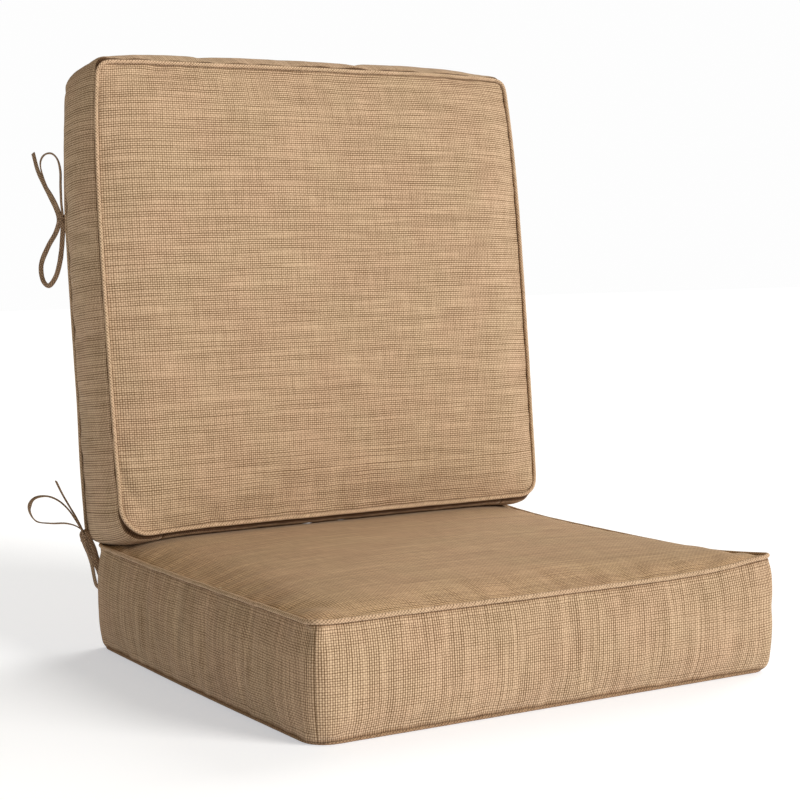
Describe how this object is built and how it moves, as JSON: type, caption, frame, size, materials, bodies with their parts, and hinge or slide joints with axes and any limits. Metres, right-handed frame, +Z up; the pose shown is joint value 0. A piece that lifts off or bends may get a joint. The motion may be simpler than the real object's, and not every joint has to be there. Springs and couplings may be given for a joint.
{
  "type": "chair cushion set",
  "caption": "Boxed and welted chair seat pad with a loose back cushion standing on it, each in a zipped woven cover, with bow ties at the rear.",
  "frame": {"origin": "middle of the seat cushion's underside, on the surface it rests on", "axes": "+Z up, -Y towards the front edge of the seat, +X to the right seen from the front"},
  "size_m": [0.741, 0.7201, 0.7405],
  "materials": {
    "panel_cloth": "woven tan tweed",
    "boxing_cloth": "woven tan tweed",
    "welt_cloth": "woven tan tweed, cut on the bias",
    "tie_cloth": "woven tan tweed, folded and stitched",
    "foam": "open-cell foam",
    "fibre": "white polyester fibre",
    "zip_tape": "woven tape",
    "zip_coil": "moulded nylon",
    "zip_metal": "bronze enamel"
  },
  "bodies": {
    "seat_cushion": {"seat_foam_core": "foam", "seat_fibre_wrap": "fibre", "seat_top_panel": "panel_cloth", "seat_bottom_panel": "panel_cloth", "seat_main_boxing": "boxing_cloth", "seat_zip_boxing_upper": "boxing_cloth", "seat_zip_boxing_lower": "boxing_cloth", "seat_top_welt_cover": "welt_cloth", "seat_top_welt_cord": "fibre", "seat_bottom_welt_cover": "welt_cloth", "seat_bottom_welt_cord": "fibre", "seat_zip_tape_upper": "zip_tape", "seat_zip_tape_lower": "zip_tape", "seat_zip_coil_upper": "zip_coil", "seat_zip_coil_lower": "zip_coil", "seat_zip_stops": "zip_metal", "lower_left_tie_a": "tie_cloth", "lower_left_tie_b": "tie_cloth", "lower_right_tie_a": "tie_cloth", "lower_right_tie_b": "tie_cloth"},
    "seat_zip_slider": {"seat_zip_slider": "zip_metal"},
    "seat_zip_pull": {"seat_zip_pull": "zip_metal"},
    "back_cushion": {"back_foam_core": "foam", "back_fibre_wrap": "fibre", "back_front_panel": "panel_cloth", "back_rear_upper_panel": "panel_cloth", "back_rear_lower_panel": "panel_cloth", "back_main_boxing": "boxing_cloth", "back_bottom_boxing": "boxing_cloth", "back_front_welt_cover": "welt_cloth", "back_front_welt_cord": "fibre", "back_rear_welt_cover": "welt_cloth", "back_rear_welt_cord": "fibre", "back_zip_tape_upper": "zip_tape", "back_zip_tape_lower": "zip_tape", "back_zip_coil_upper": "zip_coil", "back_zip_coil_lower": "zip_coil", "back_zip_stops": "zip_metal", "upper_left_tie_a": "tie_cloth", "upper_left_tie_b": "tie_cloth", "upper_right_tie_a": "tie_cloth", "upper_right_tie_b": "tie_cloth"},
    "back_zip_slider": {"back_zip_slider": "zip_metal"},
    "back_zip_pull": {"back_zip_pull": "zip_metal"}
  },
  "joints": [
    {"name": "back_cushion_lift", "type": "slide", "parent": "seat_cushion", "child": "back_cushion", "axis": [0, 0, 1], "range_m": [0, 0.12]},
    {"name": "seat_zip_slide", "type": "slide", "parent": "seat_cushion", "child": "seat_zip_slider", "axis": [-1, 0, 0], "range_m": [0, 0.43]},
    {"name": "seat_zip_pull_swing", "type": "hinge", "parent": "seat_zip_slider", "child": "seat_zip_pull", "pos_m": [0.213, 0.2911, 0.0675], "axis": [0, 0, 1], "range_deg": [0, 180]},
    {"name": "back_zip_slide", "type": "slide", "parent": "back_cushion", "child": "back_zip_slider", "axis": [-1, 0, 0], "range_m": [0, 0.43]},
    {"name": "back_zip_pull_swing", "type": "hinge", "parent": "back_zip_slider", "child": "back_zip_pull", "pos_m": [0.213, 0.32434, 0.19298], "axis": [0, 0.108, 0.9942], "range_deg": [0, 180]}
  ]
}
